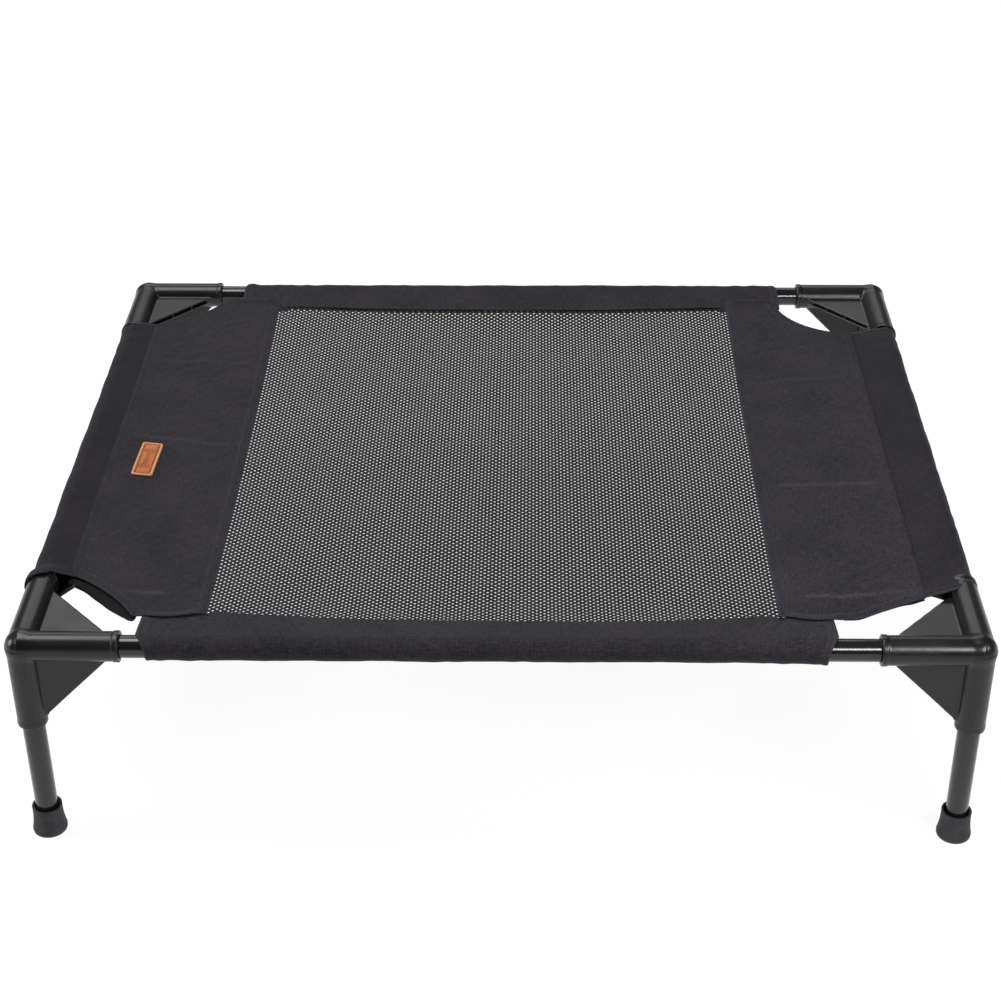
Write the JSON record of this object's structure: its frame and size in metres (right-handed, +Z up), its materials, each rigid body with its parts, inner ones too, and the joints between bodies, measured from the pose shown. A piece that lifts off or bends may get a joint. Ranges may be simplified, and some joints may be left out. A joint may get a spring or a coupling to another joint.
{
  "type": "raised dog bed",
  "caption": "Raised dog bed: powder-coated steel tubes in moulded corner connectors on pull-off legs with rubber feet, carrying a sewn cloth sling with an open mesh middle.",
  "frame": {"origin": "centre of the footprint, on the floor under the feet", "axes": "+X along the long side, to the right as seen from the front; +Y towards the back; +Z up"},
  "size_m": [0.7664, 0.6284, 0.197],
  "materials": {
    "connector_plastic": "fine moulded texture, satin",
    "tube_powder_coat": "smooth black powder coat, semi-gloss",
    "foot_rubber": "matt moulded rubber",
    "oxford_cloth": "plain woven coated polyester",
    "open_mesh": "coated polyester yarn mesh with open cells",
    "facing_cloth": "coated lining cloth",
    "patch_leather": "tan embossed and edge-stitched"
  },
  "bodies": {
    "frame": {"corner_connector_front_left": "connector_plastic", "corner_connector_front_right": "connector_plastic", "corner_connector_back_left": "connector_plastic", "corner_connector_back_right": "connector_plastic", "rail_front": "tube_powder_coat", "rail_back": "tube_powder_coat", "rail_left": "tube_powder_coat", "rail_right": "tube_powder_coat", "left_panel": "oxford_cloth", "right_panel": "oxford_cloth", "front_sleeve": "oxford_cloth", "back_sleeve": "oxford_cloth", "left_sleeve": "oxford_cloth", "right_sleeve": "oxford_cloth", "mesh_panel": "open_mesh", "corner_facing_front_left": "facing_cloth", "corner_facing_front_right": "facing_cloth", "corner_facing_back_left": "facing_cloth", "corner_facing_back_right": "facing_cloth", "leather_patch": "patch_leather"},
    "leg_front_left": {"leg_tube_front_left": "tube_powder_coat", "rubber_foot_front_left": "foot_rubber"},
    "leg_front_right": {"leg_tube_front_right": "tube_powder_coat", "rubber_foot_front_right": "foot_rubber"},
    "leg_back_left": {"leg_tube_back_left": "tube_powder_coat", "rubber_foot_back_left": "foot_rubber"},
    "leg_back_right": {"leg_tube_back_right": "tube_powder_coat", "rubber_foot_back_right": "foot_rubber"}
  },
  "joints": [
    {"name": "leg_front_left_pull", "type": "slide", "parent": "frame", "child": "leg_front_left", "axis": [0, 0, -1], "range_m": [0, 0.055]},
    {"name": "leg_front_right_pull", "type": "slide", "parent": "frame", "child": "leg_front_right", "axis": [0, 0, -1], "range_m": [0, 0.055]},
    {"name": "leg_back_left_pull", "type": "slide", "parent": "frame", "child": "leg_back_left", "axis": [0, 0, -1], "range_m": [0, 0.055]},
    {"name": "leg_back_right_pull", "type": "slide", "parent": "frame", "child": "leg_back_right", "axis": [0, 0, -1], "range_m": [0, 0.055]}
  ]
}
